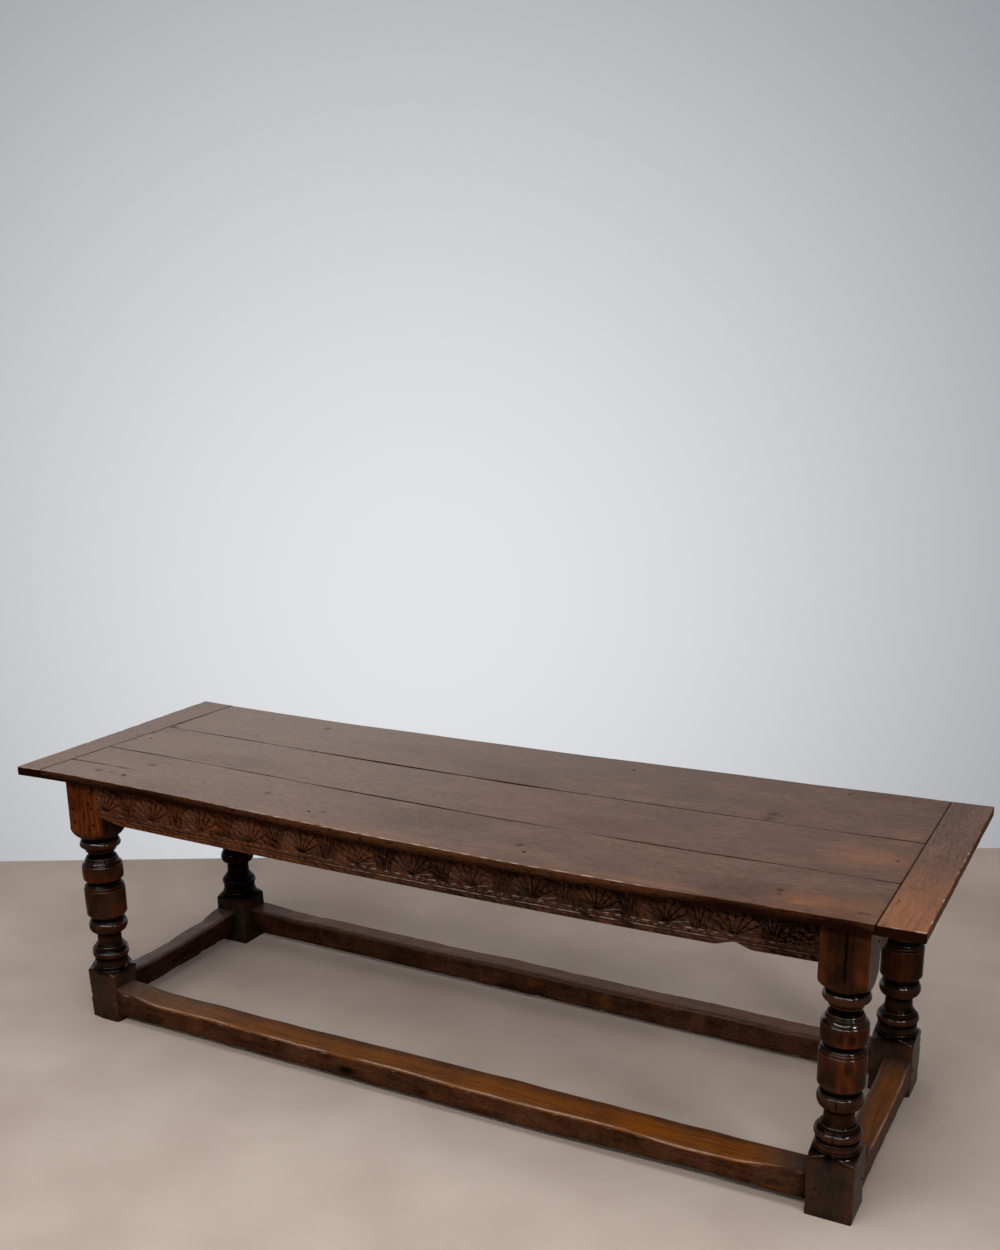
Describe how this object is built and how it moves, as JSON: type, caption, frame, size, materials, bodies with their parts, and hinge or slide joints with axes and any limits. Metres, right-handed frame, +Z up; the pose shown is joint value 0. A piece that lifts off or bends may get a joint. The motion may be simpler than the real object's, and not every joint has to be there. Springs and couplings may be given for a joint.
{
  "type": "refectory table",
  "caption": "Long oak refectory table: boarded top between cleats, turned block-and-ball legs, carved front rail and low box stretchers, all pegged together.",
  "frame": {"origin": "on the floor, under the middle of the top", "axes": "+X along the length towards the wider cleat at the shaped end of the carved rail, +Y from the carved front to the back, +Z up"},
  "size_m": [2.475, 0.815, 0.76],
  "materials": {
    "oak_top": "waxed, hazy satin",
    "oak_leg": "dark stained, waxed to a gloss",
    "oak_rail": "dark stained, waxed",
    "oak_stretcher": "dark stained, worn by feet",
    "oak_peg": "end grain, waxed"
  },
  "bodies": {
    "root": {"front_left_leg": "oak_leg", "front_right_leg": "oak_leg", "back_left_leg": "oak_leg", "back_right_leg": "oak_leg", "front_rail": "oak_rail", "back_rail": "oak_rail", "left_end_rail": "oak_rail", "right_end_rail": "oak_rail", "cross_bearer": "oak_rail", "front_stretcher": "oak_stretcher", "back_stretcher": "oak_stretcher", "left_end_stretcher": "oak_stretcher", "right_end_stretcher": "oak_stretcher", "front_top_board": "oak_top", "middle_top_board": "oak_top", "back_top_board": "oak_top", "left_cleat": "oak_top", "right_cleat": "oak_top", "front_rail_pegs": "oak_peg", "back_rail_pegs": "oak_peg", "left_end_rail_pegs": "oak_peg", "right_end_rail_pegs": "oak_peg", "front_stretcher_pegs": "oak_peg", "back_stretcher_pegs": "oak_peg", "left_end_stretcher_pegs": "oak_peg", "right_end_stretcher_pegs": "oak_peg", "front_top_pegs": "oak_peg", "middle_top_pegs": "oak_peg", "back_top_pegs": "oak_peg", "left_cleat_pegs": "oak_peg", "right_cleat_pegs": "oak_peg"}
  },
  "joints": []
}
